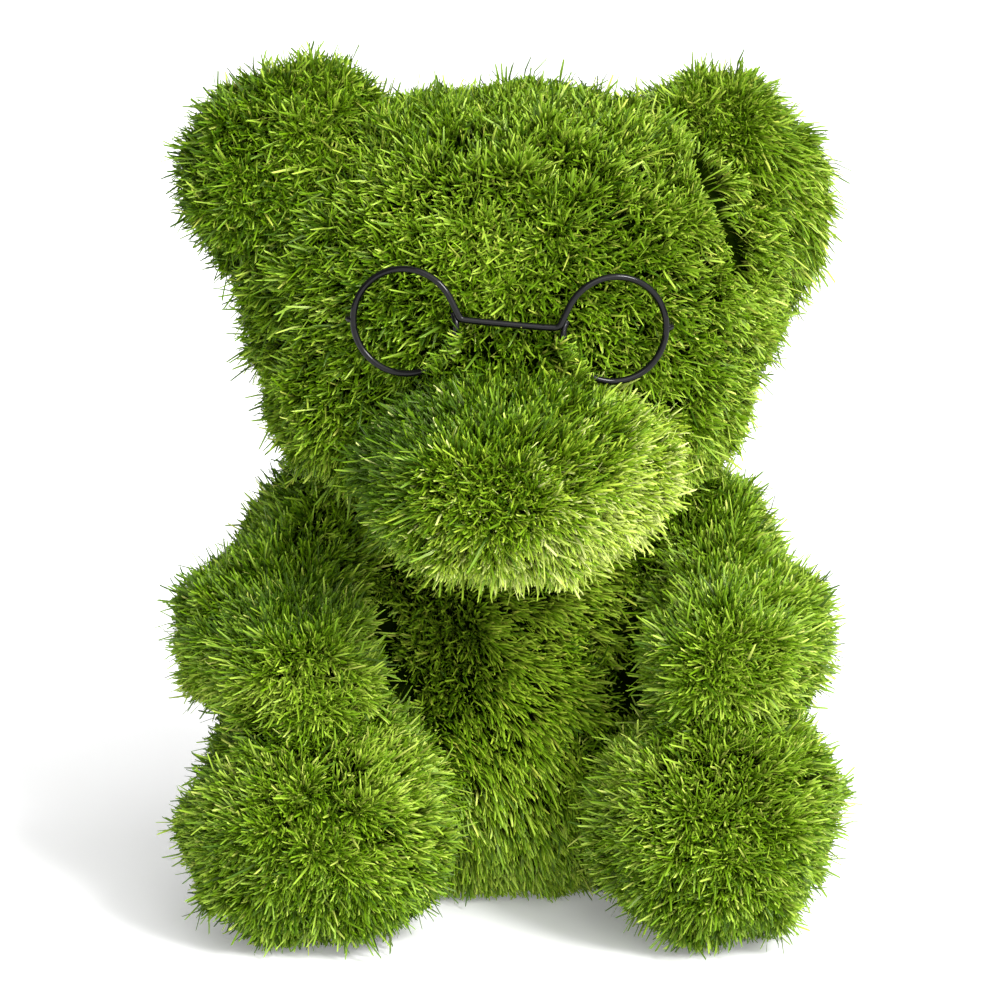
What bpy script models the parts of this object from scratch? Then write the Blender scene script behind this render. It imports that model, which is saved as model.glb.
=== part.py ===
"""A sitting bear made of artificial grass, with round wire spectacles pressed into its face.

Each form of the bear is its own turf-covered body: torso, head, muzzle, two ears, two arms and
two legs. The solids follow the outline of the pile, with its tufts, and meet at narrow seams.
X runs to the right of someone who faces the bear, -Y comes out of its face and +Z is up. The
origin is on the ground, midway between the bear's widest points.
"""

import math

import bmesh
import bpy
from mathutils import Euler, Matrix, Vector, noise

# Driving dimensions of the bear, in metres: its height, and the size and share of skin cells kept.
BEAR_HEIGHT = 0.470
SKIN_CELL = 0.0138
SKIN_KEPT = 0.44

# The pile: how far the tufts swell and how far apart they stand, and how far single locks of
# blades reach out of the skin, the cell of their pattern, and their lean for each length out.
TUFT_DEPTH = 0.0085
TUFT_SPACING = 0.026
LOCK_LENGTH = 0.0050
LOCK_CELL = 0.004
LOCK_LEAN = 1.0

# The gap between two forms, or a form and the spectacles, and the rounds that settle it.
SEAM_GAP = 0.0003
CLEAR_ROUNDS = 8

# Driving dimensions of the spectacles, in metres. The rings are measured over the wire, and the
# bridge between them. The stand-off is from the head's front to the wire.
WIRE_DIAMETER = 0.003
RING_DIAMETER = 0.0575
BRIDGE_LENGTH = 0.0508
BRIDGE_RISE = 0.003
PIN_LENGTH = 0.030
RING_STAND_OFF = 0.0015

# How far each ring turns back round its own centre, how much lower the right ring sits, how far
# up a ring the bridge's end climbs, and its bend's reach in wire diameters.
RING_TURN = math.radians(12)
SPECTACLES_TILT = math.radians(2.2)
BRIDGE_CLIMB = math.radians(28)
BEND_REACH = 1.6

# How finely the wire is divided, along a ring and round its section.
RING_STEPS = 24
WIRE_SIDES_RESOLUTION = 2

# The height of the spectacles and the free form of the bear, as shares of the bear's height.
SPECTACLES_HEIGHT = 0.708

# Every form is a blend of balls: centre, half sizes, and turn about Y in degrees.
FORMS = {
    "torso": [
        ((0.000, 0.047, 0.176), (0.250, 0.230, 0.236), 0),
        ((0.000, 0.038, 0.352), (0.208, 0.187, 0.200), 0),
    ],
    "head": [
        ((0.007, 0.000, 0.715), (0.325, 0.251, 0.245), 0),
        ((-0.158, -0.055, 0.606), (0.135, 0.145, 0.137), 0),
        ((0.163, -0.055, 0.610), (0.133, 0.145, 0.137), 0),
    ],
    "muzzle": [
        ((0.008, -0.225, 0.540), (0.190, 0.135, 0.130), 0),
        ((-0.012, -0.318, 0.528), (0.142, 0.098, 0.110), 0),
    ],
    "ear_left": [((-0.241, -0.026, 0.847), (0.151, 0.098, 0.145), 0)],
    "ear_right": [((0.250, 0.080, 0.812), (0.138, 0.096, 0.172), -25)],
    "arm_left": [
        ((-0.202, -0.010, 0.421), (0.113, 0.113, 0.113), 0),
        ((-0.277, -0.102, 0.326), (0.119, 0.119, 0.119), 0),
        ((-0.238, -0.200, 0.307), (0.106, 0.106, 0.106), 0),
    ],
    "arm_right": [
        ((0.209, 0.000, 0.421), (0.109, 0.109, 0.109), 0),
        ((0.264, -0.102, 0.322), (0.119, 0.119, 0.119), 0),
        ((0.236, -0.200, 0.310), (0.107, 0.107, 0.107), 0),
    ],
    "leg_left": [
        ((-0.175, 0.020, 0.145), (0.144, 0.140, 0.144), 0),
        ((-0.217, -0.204, 0.134), (0.163, 0.160, 0.161), 0),
    ],
    "leg_right": [
        ((0.180, 0.020, 0.145), (0.140, 0.140, 0.140), 0),
        ((0.230, -0.204, 0.137), (0.152, 0.158, 0.158), 0),
    ],
}

# The crown of each form's pile: the blades lean away from it over the form.
CROWNS = {
    "torso": (-0.064, -0.185, 0.277),
    "head": (0.000, -0.250, 0.790),
    "muzzle": (-0.021, -0.420, 0.534),
    "ear_left": (-0.226, -0.120, 0.845),
    "ear_right": (0.200, 0.000, 0.900),
    "arm_left": (-0.210, -0.300, 0.285),
    "arm_right": (0.236, -0.315, 0.330),
    "leg_left": (-0.215, -0.365, 0.135),
    "leg_right": (0.230, -0.360, 0.135),
}

# Which neighbours press into each form: the form is cut back from them by the seam gap.
PRESSED_BY = {
    "torso": [],
    "head": ["torso", "spectacles"],
    "muzzle": ["head", "torso", "spectacles"],
    "ear_left": ["head"],
    "ear_right": ["head"],
    "arm_left": ["torso", "head", "leg_left"],
    "arm_right": ["torso", "head", "leg_right"],
    "leg_left": ["torso"],
    "leg_right": ["torso"],
}

ON_THE_GROUND = ("torso", "leg_left", "leg_right")

# Mean colours of the pile, form by form, and of the paint on the wire.
TURF_COLOURS = {
    "torso": (0.082, 0.152, 0.010, 1.0),
    "head": (0.125, 0.205, 0.018, 1.0),
    "muzzle": (0.180, 0.290, 0.035, 1.0),
    "ear_left": (0.090, 0.160, 0.014, 1.0),
    "ear_right": (0.125, 0.205, 0.018, 1.0),
    "arm_left": (0.110, 0.190, 0.015, 1.0),
    "arm_right": (0.115, 0.200, 0.016, 1.0),
    "leg_left": (0.105, 0.180, 0.014, 1.0),
    "leg_right": (0.110, 0.190, 0.015, 1.0),
}
WIRE_PAINT = (0.012, 0.012, 0.013, 1.0)


def clear_scene():
    """Removes whatever objects the scene starts with."""
    for found in list(bpy.data.objects):
        bpy.data.objects.remove(found, do_unlink=True)


def new_collection(name):
    made = bpy.data.collections.new(name)
    bpy.context.scene.collection.children.link(made)
    return made


def surface_material(name, colour, roughness, metallic):
    """A Principled surface with one colour."""
    material = bpy.data.materials.new(name)
    material.use_nodes = True
    shader = material.node_tree.nodes["Principled BSDF"]
    shader.inputs["Base Color"].default_value = colour
    shader.inputs["Roughness"].default_value = roughness
    shader.inputs["Metallic"].default_value = metallic
    return material


def as_object(name, mesh, collection):
    made = bpy.data.objects.new(name, mesh)
    collection.objects.link(made)
    return made


def evaluated_mesh(source):
    """The mesh of an object with its modifiers or its bevel applied."""
    graph = bpy.context.evaluated_depsgraph_get()
    return bpy.data.meshes.new_from_object(source.evaluated_get(graph), depsgraph=graph)


def ball_matrix(centre, half_sizes, turn):
    """Places a unit ball by its centre and half sizes, given as shares of the bear's height."""
    place = Matrix.Translation(Vector(centre) * BEAR_HEIGHT)
    turned = Euler((0.0, math.radians(turn), 0.0)).to_matrix().to_4x4()
    sized = Matrix.Diagonal((*(Vector(half_sizes) * BEAR_HEIGHT), 1.0))
    return place @ turned @ sized


def blended_balls(name, balls, collection):
    """One even skin of square cells over the union of the balls, its creases rounded a little."""
    shape = bmesh.new()
    for centre, half_sizes, turn in balls:
        bmesh.ops.create_icosphere(
            shape, subdivisions=4, radius=1.0, matrix=ball_matrix(centre, half_sizes, turn)
        )
    mesh = bpy.data.meshes.new(name + "_balls")
    shape.to_mesh(mesh)
    shape.free()
    source = as_object(name + "_balls", mesh, collection)
    skin = source.modifiers.new("skin", "REMESH")
    skin.mode = "VOXEL"
    skin.voxel_size = SKIN_CELL
    soften = source.modifiers.new("soften", "SMOOTH")
    soften.factor = 0.5
    soften.iterations = 2
    blended = evaluated_mesh(source)
    bpy.data.objects.remove(source, do_unlink=True)
    return blended


def wire_radius():
    """The radius of a ring along the middle of its wire."""
    return (RING_DIAMETER - WIRE_DIAMETER) / 2


def ring_centre(side, face):
    """The centre of a spectacle ring: side -1 or 1, face the Y of the head's front there."""
    reach = (RING_DIAMETER + BRIDGE_LENGTH) / 2
    x = side * reach * math.cos(SPECTACLES_TILT)
    z = SPECTACLES_HEIGHT * BEAR_HEIGHT - side * reach * math.sin(SPECTACLES_TILT)
    return Vector((x, face, z))


def head_front(x, z):
    """The Y of the front of the head's main ball at this place, before its tufts."""
    centre, half_sizes, _ = FORMS["head"][0]
    across = (x / BEAR_HEIGHT - centre[0]) / half_sizes[0]
    upward = (z / BEAR_HEIGHT - centre[2]) / half_sizes[2]
    depth = math.sqrt(max(0.0, 1.0 - across**2 - upward**2))
    return (centre[1] - half_sizes[1] * depth) * BEAR_HEIGHT


def spectacles_face():
    """The Y of the rings' middle plane, clear of the head's front inside and under the rings."""
    inner_x = BRIDGE_LENGTH / 2
    front = head_front(inner_x, SPECTACLES_HEIGHT * BEAR_HEIGHT)
    inner_lean = RING_DIAMETER / 2 * math.sin(RING_TURN)
    return front + inner_lean - RING_STAND_OFF - WIRE_DIAMETER / 2


def pressed_flat(point):
    """How much the spectacles hold the pile down here: 1 under a ring, 0 away from it."""
    face = spectacles_face()
    nearest = min(
        math.hypot(point.x - centre.x, point.z - centre.z)
        for centre in (ring_centre(-1, face), ring_centre(1, face))
    )
    reach = RING_DIAMETER / 2 + TUFT_SPACING / 2
    if point.y > 0 or nearest > reach + TUFT_SPACING:
        return 0.0
    return min(1.0, 1.0 - (nearest - reach) / TUFT_SPACING)


def tuft_height(point, seed):
    """The pile's height here over its mean: peaks at the tufts' middles and clefts between them."""
    place = point / TUFT_SPACING + Vector((seed * 7.3, seed * 3.1, seed * 5.7))
    distances, _ = noise.voronoi(place)
    cleft = distances[1] - distances[0]
    swell = noise.noise(place * 0.45)
    return TUFT_DEPTH * (min(cleft, 0.9) - 0.42 + 0.5 * swell)


def drop_flaps(mesh):
    """Drops the loose faces that hang on an edge of a thinned skin, so that it stays closed."""
    shape = bmesh.new()
    shape.from_mesh(mesh)
    loose_edges = [edge for edge in shape.edges if len(edge.link_faces) == 1]
    flaps = {face for edge in loose_edges for face in edge.link_faces}
    bmesh.ops.delete(shape, geom=list(flaps), context="FACES")
    shape.to_mesh(mesh)
    shape.free()


def thinned(mesh, collection):
    """The tufted skin with its flatter cells merged, so that the triangles follow the tufts."""
    source = as_object(mesh.name + "_fine", mesh, collection)
    thin = source.modifiers.new("thin", "DECIMATE")
    thin.ratio = SKIN_KEPT
    source.modifiers.new("triangles", "TRIANGULATE")
    result = evaluated_mesh(source)
    bpy.data.objects.remove(source, do_unlink=True)
    drop_flaps(result)
    return result


def raise_tufts(mesh, seed):
    """Moves the skin out and in along its normals, as clumps of blades stand and part."""
    shape = bmesh.new()
    shape.from_mesh(mesh)
    shape.normal_update()
    moves = {}
    for vertex in shape.verts:
        height = tuft_height(vertex.co, seed)
        held = pressed_flat(vertex.co)
        height = height * (1.0 - held) - held * abs(height)
        moves[vertex] = vertex.normal * height
    for vertex, move in moves.items():
        vertex.co += move
    shape.to_mesh(mesh)
    shape.free()


def draw_locks(mesh, name):
    """Draws single corners of the skin out to points that lean away from the form's crown."""
    crown = Vector(CROWNS[name]) * BEAR_HEIGHT
    shape = bmesh.new()
    shape.from_mesh(mesh)
    shape.normal_update()
    moves = {}
    for vertex in shape.verts:
        free = 1.0 - pressed_flat(vertex.co)
        lift = LOCK_LENGTH * noise.cell(vertex.co / LOCK_CELL) * free
        away = vertex.co - crown
        away -= away.dot(vertex.normal) * vertex.normal
        lean = away.normalized() * max(lift, 0.0) * LOCK_LEAN
        moves[vertex] = vertex.normal * lift + lean
    for vertex, move in moves.items():
        vertex.co += move
    shape.to_mesh(mesh)
    shape.free()


def clear_step(vertex):
    """The step that takes a vertex a seam gap or more off the plane of every face around it."""
    move = vertex.normal * SEAM_GAP
    for _ in range(CLEAR_ROUNDS):
        for face in vertex.link_faces:
            short = SEAM_GAP - move.dot(face.normal)
            if short > 0:
                move += face.normal * short
    return move


def swollen_copy(source, name, collection):
    """The body that cuts a neighbour: a form with its surface moved out by the seam gap."""
    shape = bmesh.new()
    shape.from_mesh(source)
    shape.normal_update()
    moves = {vertex: clear_step(vertex) for vertex in shape.verts}
    for vertex, move in moves.items():
        vertex.co += move
    mesh = bpy.data.meshes.new(name)
    shape.to_mesh(mesh)
    shape.free()
    return hidden(as_object(name, mesh, collection))


def hidden(cutter):
    cutter.hide_render = True
    cutter.display_type = "WIRE"
    return cutter


def ground_block(collection):
    """Everything under the ground, which flattens what the bear sits on."""
    size = 2 * BEAR_HEIGHT
    shape = bmesh.new()
    bmesh.ops.create_cube(shape, size=size, matrix=Matrix.Translation((0, 0, -size / 2)))
    mesh = bpy.data.meshes.new("cutter_ground")
    shape.to_mesh(mesh)
    shape.free()
    return hidden(as_object("cutter_ground", mesh, collection))


def combine(target, other, operation):
    """Cuts the target by the other object, or joins the other to it."""
    boolean = target.modifiers.new(other.name, "BOOLEAN")
    boolean.operation = operation
    boolean.solver = "EXACT"
    boolean.object = other


def turned_to_face(point, side, centre):
    """Turns a point of a flat pair of spectacles back round its ring's centre."""
    turn = Matrix.Rotation(side * RING_TURN, 3, "Z")
    return centre + turn @ (point - centre)


def ring_points(side, face):
    """The closed wire circle of one ring."""
    centre = ring_centre(side, face)
    points = []
    for step in range(RING_STEPS):
        angle = 2 * math.pi * step / RING_STEPS
        flat = centre + Vector((math.cos(angle), 0, math.sin(angle))) * wire_radius()
        points.append(turned_to_face(flat, side, centre))
    return points


def inner_joint(side, face):
    """Where the bridge runs into a ring, a little over the ring's middle."""
    centre = ring_centre(side, face)
    across = math.sqrt(wire_radius() ** 2 - BRIDGE_RISE**2)
    flat = centre + Vector((-side * across, 0, BRIDGE_RISE))
    return turned_to_face(flat, side, centre)


def bridge_points(face):
    """The straight wire between the rings, bent up along each ring's inner side."""
    points = []
    for side in (-1, 1):
        centre = ring_centre(side, face)
        joint = inner_joint(side, face)
        climb = Vector((-side * math.cos(BRIDGE_CLIMB), 0, math.sin(BRIDGE_CLIMB)))
        up_the_ring = turned_to_face(centre + climb * wire_radius(), side, centre)
        bend = joint + Vector((-side * BEND_REACH * WIRE_DIAMETER, 0, 0))
        ends = [up_the_ring, (up_the_ring + joint) / 2 + (bend - joint) * 0.25, bend]
        points += ends if side < 0 else ends[::-1]
    return points


def pin_points(side, face):
    """The pin at a ring's outer side: a short elbow, then straight back into the turf."""
    centre = ring_centre(side, face)
    start = turned_to_face(centre + Vector((side * wire_radius(), 0, 0)), side, centre)
    elbow = start + Vector((side * WIRE_DIAMETER, WIRE_DIAMETER, 0))
    return [start, elbow, elbow + Vector((0, PIN_LENGTH, 0))]


def wire_mesh(name, points, thickness, closed, collection):
    """A round wire through the points, as a mesh with welded ends."""
    curve = bpy.data.curves.new(name, "CURVE")
    curve.dimensions = "3D"
    curve.bevel_depth = thickness / 2
    curve.bevel_resolution = WIRE_SIDES_RESOLUTION
    curve.use_fill_caps = not closed
    spline = curve.splines.new("POLY")
    spline.points.add(len(points) - 1)
    spline.use_cyclic_u = closed
    for target, point in zip(spline.points, points):
        target.co = (*point, 1.0)
    source = as_object(name, curve, collection)
    mesh = evaluated_mesh(source)
    bpy.data.objects.remove(source, do_unlink=True)
    shape = bmesh.new()
    shape.from_mesh(mesh)
    bmesh.ops.remove_doubles(shape, verts=shape.verts, dist=0.00001)
    bmesh.ops.recalc_face_normals(shape, faces=shape.faces)
    shape.to_mesh(mesh)
    shape.free()
    return mesh


def spectacles_mesh(name, thickness, collection):
    """The whole pair of spectacles as one body: two rings, the bridge and two pins."""
    face = spectacles_face()
    runs = [(ring_points(side, face), True) for side in (-1, 1)]
    runs += [(bridge_points(face), False)]
    runs += [(pin_points(side, face), False) for side in (-1, 1)]
    bodies = []
    for index, (points, closed) in enumerate(runs):
        mesh = wire_mesh(f"{name}_{index}", points, thickness, closed, collection)
        bodies.append(as_object(f"{name}_{index}", mesh, collection))
    for joined in bodies[1:]:
        combine(bodies[0], joined, "UNION")
    whole = evaluated_mesh(bodies[0])
    for body in bodies:
        bpy.data.objects.remove(body, do_unlink=True)
    whole.name = name
    return whole


def main_body(mesh):
    """Leaves the largest closed body of a mesh and drops the crumbs that a cut left beside it."""
    shape = bmesh.new()
    shape.from_mesh(mesh)
    waiting = set(shape.verts)
    bodies = []
    while waiting:
        front = [waiting.pop()]
        body = set(front)
        while front:
            corner = front.pop()
            around = {edge.other_vert(corner) for edge in corner.link_edges}
            fresh = around & waiting
            waiting -= fresh
            body |= fresh
            front += fresh
        bodies.append(body)
    largest = max(bodies, key=len)
    crumbs = [vertex for vertex in shape.verts if vertex not in largest]
    bmesh.ops.delete(shape, geom=crumbs, context="VERTS")
    shape.to_mesh(mesh)
    shape.free()


def centre_on_ground(pieces):
    """Moves the finished pieces together, so that the origin is under the middle of the whole."""
    corners = [vertex.co for piece in pieces for vertex in piece.data.vertices]
    middle_x = (min(co.x for co in corners) + max(co.x for co in corners)) / 2
    middle_y = (min(co.y for co in corners) + max(co.y for co in corners)) / 2
    for piece in pieces:
        piece.data.transform(Matrix.Translation((-middle_x, -middle_y, 0.0)))


def make_bear():
    clear_scene()
    bear = new_collection("artificial_grass_bear")
    cutters = new_collection("cutters")
    ground = ground_block(cutters)

    skins = {}
    for seed, (name, balls) in enumerate(FORMS.items(), start=1):
        skin = blended_balls(name, balls, cutters)
        raise_tufts(skin, seed)
        skins[name] = thinned(skin, cutters)
        draw_locks(skins[name], name)

    wire = as_object("spectacles", spectacles_mesh("spectacles", WIRE_DIAMETER, cutters), bear)
    wire.data.shade_smooth()
    wire.data.materials.clear()
    wire.data.materials.append(surface_material("black_paint", WIRE_PAINT, 0.3, 0.0))

    wide = spectacles_mesh("cutter_spectacles", WIRE_DIAMETER + 2 * SEAM_GAP, cutters)
    press = {"spectacles": hidden(as_object("cutter_spectacles", wide, cutters))}
    for name in ("torso", "head", "leg_left", "leg_right"):
        press[name] = swollen_copy(skins[name], "cutter_" + name, cutters)

    for name, skin in skins.items():
        whole = as_object(name + "_whole", skin, cutters)
        if name in ON_THE_GROUND:
            combine(whole, ground, "DIFFERENCE")
        for neighbour in PRESSED_BY[name]:
            combine(whole, press[neighbour], "DIFFERENCE")
        mesh = evaluated_mesh(whole)
        mesh.name = name
        bpy.data.objects.remove(whole, do_unlink=True)
        main_body(mesh)
        mesh.materials.clear()
        mesh.materials.append(surface_material(name + "_turf", TURF_COLOURS[name], 0.55, 0.0))
        as_object(name, mesh, bear)
    centre_on_ground(bear.objects)


make_bear()
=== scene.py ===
"""Looks of a sitting bear of artificial grass with round wire spectacles.

Every form of the bear is a coat of turf: a dark backing inside it, and grass blades that stand
through the form's skin and lean away from its crown. The spectacles are one bent black wire.
All lengths are in metres, in the frame's own space.
"""

import math
from collections import namedtuple

import bmesh
import bpy
import numpy as np
from mathutils import Matrix, Vector
from mathutils.bvhtree import BVHTree


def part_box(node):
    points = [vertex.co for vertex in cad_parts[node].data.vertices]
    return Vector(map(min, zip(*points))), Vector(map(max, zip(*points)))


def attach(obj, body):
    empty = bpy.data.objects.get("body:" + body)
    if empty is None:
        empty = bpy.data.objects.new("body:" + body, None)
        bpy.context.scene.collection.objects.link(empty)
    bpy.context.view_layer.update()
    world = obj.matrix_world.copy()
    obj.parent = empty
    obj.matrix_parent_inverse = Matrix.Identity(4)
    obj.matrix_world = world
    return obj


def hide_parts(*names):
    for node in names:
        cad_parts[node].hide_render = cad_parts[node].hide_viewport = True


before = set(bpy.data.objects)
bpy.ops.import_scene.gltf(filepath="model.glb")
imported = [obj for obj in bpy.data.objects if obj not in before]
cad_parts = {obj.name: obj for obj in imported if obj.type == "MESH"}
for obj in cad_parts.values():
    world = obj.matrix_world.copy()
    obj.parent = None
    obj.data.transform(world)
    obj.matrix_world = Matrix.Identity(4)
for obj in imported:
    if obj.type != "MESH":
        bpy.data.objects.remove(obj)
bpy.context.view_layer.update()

# The pile. Blades grow from the backing, this far under the skin, to a little over the skin.
BACKING_DEPTH = 0.0148
ROOT_DEPTH = 0.0135
TUFT_BLADES = 6
TUFT_SPREAD = 0.0024
ROOT_SPREAD_SHARE = 0.6
TUFT_SWAY_SHARE = 0.45
GROUND_CLEARANCE = 0.0006
GROUND_SCATTER = 0.002

# A blade: its width and the range of it, its cut tip, where it bends and how, and how it rolls.
BLADE_WIDTH = 0.00116
WIDTH_RANGE = (0.60, 1.25)
WIDER_BEHIND = 0.35
TIP_SHARE = 0.62
TIP_SLANT = 0.05
LONG_SECTIONS = 2
SHORT_SECTIONS = 1
KNEE = 0.56
KNEE_SCATTER = 0.0004
BOW_RISE = 0.68
BOW_LEAN = 0.26
SAG = 0.04
ROLL = 0.8

# How blades differ in height: one by one, by tuft, as strays, and as the short ones between.
BLADE_SCATTER = 0.0010
TUFT_SCATTER = 0.0008
STRAY_MEAN = 0.0036
STRAY_MOST = 0.011
SHORTER_BY = (0.0015, 0.0070)
THATCH_SHARE = 0.45
THATCH_HEIGHT = (-0.0090, -0.0030)
THATCH_SWAY = 3.0
LEANING_LOSS = 0.5
MOST_LEAN = 1.5

# The blade's map: one upright column of the map for each tint, and the share of it that is used.
MAP_NAME = "OFBake"
TINTS = 128
COLUMN_SHARE = 0.6
# The part of the map that the backing takes: its share of the columns, and its low edge, where the
# painted root shade makes it nearly black.
BACKING_COLUMNS = TINTS // 5
BACKING_U = (-0.25, 0.25, 0.0)
BACKING_V = (0.004, 0.004, 0.03)

# The skin that the blades follow: the whole bear's form with its tufts and seams smoothed away.
SKIN_CELL = 0.006
SKIN_ROUNDS = 7
SEAM_OVERLAP = 0.0006
BACKING_CELL = 0.0105
BACKING_ROUNDS = 4

# Each form's coat: crown of the pile as shares of the node's box, long blades, short blades
# between them, lean, droop, unevenness of direction, height over the skin, and share of strays.
Coat = namedtuple("Coat", "crown long short lean droop uneven height stray")
COATS = {
    "torso": Coat((0.22, 0.00, 0.54), 33000, 17000, 0.64, 0.50, 0.20, -0.0012, 0.08),
    "head": Coat((0.48, -0.01, 0.66), 55000, 29000, 0.24, 0.20, 0.36, -0.0018, 0.14),
    "muzzle": Coat((0.43, -0.01, 0.49), 27000, 13000, 0.36, 0.10, 0.26, -0.0010, 0.12),
    "ear_left": Coat((0.61, 0.00, 0.48), 24000, 11000, 0.24, 0.10, 0.38, -0.0060, 0.34),
    "ear_right": Coat((0.42, 0.08, 0.92), 24000, 11000, 0.40, 0.80, 0.26, -0.0046, 0.30),
    "arm_left": Coat((0.67, 0.01, 0.23), 26000, 12000, 0.40, 0.15, 0.26, -0.0016, 0.18),
    "arm_right": Coat((0.42, -0.03, 0.37), 26000, 12000, 0.40, 0.15, 0.26, -0.0016, 0.16),
    "leg_left": Coat((0.51, 0.01, 0.47), 30000, 14000, 0.34, 0.10, 0.28, -0.0016, 0.14),
    "leg_right": Coat((0.48, 0.00, 0.46), 30000, 14000, 0.34, 0.10, 0.28, -0.0016, 0.14),
}
NAMES = list(COATS)

# How the tint goes from deep to fresh over each form: overall, and to the right and upward, the
# last two being painted light and shade by the way the skin faces.
TONE_AND_PAINTED_LIGHT = {
    "torso": (0.11, 0.06, 0.06),
    "head": (0.00, 0.14, -0.03),
    "muzzle": (0.02, 0.42, -0.28),
    "ear_left": (-0.15, 0.05, 0.06),
    "ear_right": (0.01, 0.12, 0.00),
    "arm_left": (0.06, 0.10, -0.36),
    "arm_right": (0.00, 0.04, 0.00),
    "leg_left": (-0.06, 0.02, 0.20),
    "leg_right": (0.01, 0.00, 0.12),
}
# The middle tint, its scatter by blade and by tuft, its slow patches, and its drop at a seam,
# which is painted shade in the crease between forms.
MIDDLE_TINT = 0.42
TINT_SCATTER = 0.25
TUFT_TINT_SCATTER = 0.05
PATCH_TINT = 0.08
PATCH_SIZE = 0.11
PATCH_WAVES = 9
PATCH_STRETCH = (0.6, 1.6)
PATCH_MOST = 3.2
SEAM_PAINTED_SHADE = 0.20
# Dry blades: the tint they start from, their usual share, its rise with the painted light, which
# gathers pale blades as a painted highlight, and its range.
DRY_TINT = 0.86
DRY_SHARE = 0.035
DRY_WITH_PAINTED_LIGHT = 0.40
DRY_RANGE = (0.015, 0.18)

# How deeply the pile parts where two forms meet, from 0 to 1.
PARTINGS = {
    frozenset(("head", "ear_left")): 0.0,
    frozenset(("head", "muzzle")): 0.0,
}
USUAL_PARTING = 1.0
# How much the pile rises to fill a flush seam, and how far round to the back it does so.
SEAM_FILL = {"head": 0.0065, "muzzle": 0.0030}
FRONT_FACING = 0.2

# How far from a neighbouring form its seam lowers, pushes or blends the pile, and how much.
NEIGHBOUR_REACH = 0.045
SEAM_REACH = 0.012
PUSH_REACH = 0.020
BLEND_REACH = 0.024
SEAM_DROP = 0.0045
SEAM_PUSH = 0.30

# The solids' own tufts: felt from this far under the skin, for this long, and the share taken.
RELIEF_START = 0.008
RELIEF_REACH = 0.020
RELIEF_SHARE = 0.5

# Where the pile is denser, sparser or more ruffled.
CROWN_REACH = 0.045
DENSER_AT_CROWN = 0.8
RUFFLED_AT_CROWN = 0.8
DENSER_AT_SEAM = 0.7
SPARSER_BEHIND = 0.45
SPARSER_UNDER = 0.6
# The underside: how low it is, how far it faces down, and the fade to that.
UNDERSIDE_HEIGHT = 0.012
UNDERSIDE_FACING = 0.75
UNDERSIDE_FADE = 0.15

# The crease where the right ear comes out from behind the head: sideways places and heights.
CREASE_X = (0.1244, 0.1213, 0.1180, 0.1115, 0.1061, 0.1018, 0.1019)
CREASE_Z = (0.3439, 0.3612, 0.3727, 0.3857, 0.3963, 0.4096, 0.4222)
CREASE_DEPTH = 0.010
CREASE_HALF = 0.0042
CREASE_RAGGED = (0.4, 1.5)
CREASE_CROSSING = 0.80
# How far the crease runs past its low and high end, the length of its fading, and its back.
CREASE_LOW_END = (0.006, 0.020)
CREASE_HIGH_END = (0.004, 0.014)
CREASE_BACK = 0.03
# The slope down to the crease on the head's side and on the ear's.
CREASE_HEAD_SLOPE = 0.005
CREASE_EAR_SLOPE = 0.016
# The pile's lie beside the crease: direction, and strength.
EAR_HANG = ((-0.35, 0.0, -0.9), 3.6)
HEAD_LEAN = ((-1.0, 0.0, 0.1), 1.2)
HANG_START = 0.006
HANG_REACH = 0.040
LEAN_REACH = 0.014

SLOTS = {
    "torso": "turf_torso",
    "head": "turf_head",
    "ear_left": "turf_head",
    "ear_right": "turf_head",
    "muzzle": "turf_muzzle",
    "arm_left": "turf_limbs",
    "arm_right": "turf_limbs",
    "leg_left": "turf_limbs",
    "leg_right": "turf_limbs",
}

# Each turf's material, its colours from deep blades to dry ones, and its root and tip light.
Turf = namedtuple("Turf", "material deep leaf fresh dry root_shade tip_light")
TURFS = {
    "turf_head": Turf("head_turf", (0.030, 0.077, 0.002), (0.112, 0.220, 0.003),
                      (0.265, 0.395, 0.030), (0.37, 0.43, 0.06), 0.055, 1.22),
    "turf_muzzle": Turf("muzzle_turf", (0.032, 0.078, 0.002), (0.114, 0.218, 0.004),
                        (0.310, 0.425, 0.032), (0.48, 0.54, 0.17), 0.055, 1.31),
    "turf_torso": Turf("torso_turf", (0.031, 0.080, 0.003), (0.121, 0.236, 0.005),
                       (0.270, 0.405, 0.025), (0.36, 0.42, 0.05), 0.07, 1.22),
    "turf_limbs": Turf("limb_turf", (0.030, 0.077, 0.002), (0.116, 0.225, 0.004),
                       (0.275, 0.405, 0.032), (0.39, 0.46, 0.08), 0.055, 1.25),
}

# A blade's look: the tints over which deep turns to leaf, leaf to fresh and fresh to dry, and the
# shares of its length over which it comes into the light, lightens to the tip and gains gloss.
LEAF_TINTS = (0.0, 0.38)
FRESH_TINTS = (0.36, 0.80)
DRY_TINTS = (0.84, 0.90)
LIT_ALONG = (0.14, 0.80)
TIP_ALONG = (0.6, 1.0)
GLOSS_ALONG = (0.04, 0.50, 0.0, 0.50)
GLOSS_BY_TINT = (0.0, 0.8, 0.55, 1.15)
BLADE_ROUGHNESS = (0.26, 0.46)
MATT_ROOT = (0.03, 0.30, 1.0, 0.3)
# The rib down a blade's middle: how far across it reaches, and how much lighter it makes the
# middle than the edges, painted light and shade standing in for the ridge; and its bump.
RIB_EDGES = (0.03, 0.16)
RIB_LIGHT = 0.10
RIB_BUMP = {"Strength": 0.35, "Distance": 0.0002}
GLOSS_TINT = (0.95, 1.0, 0.52, 1.0)

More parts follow.
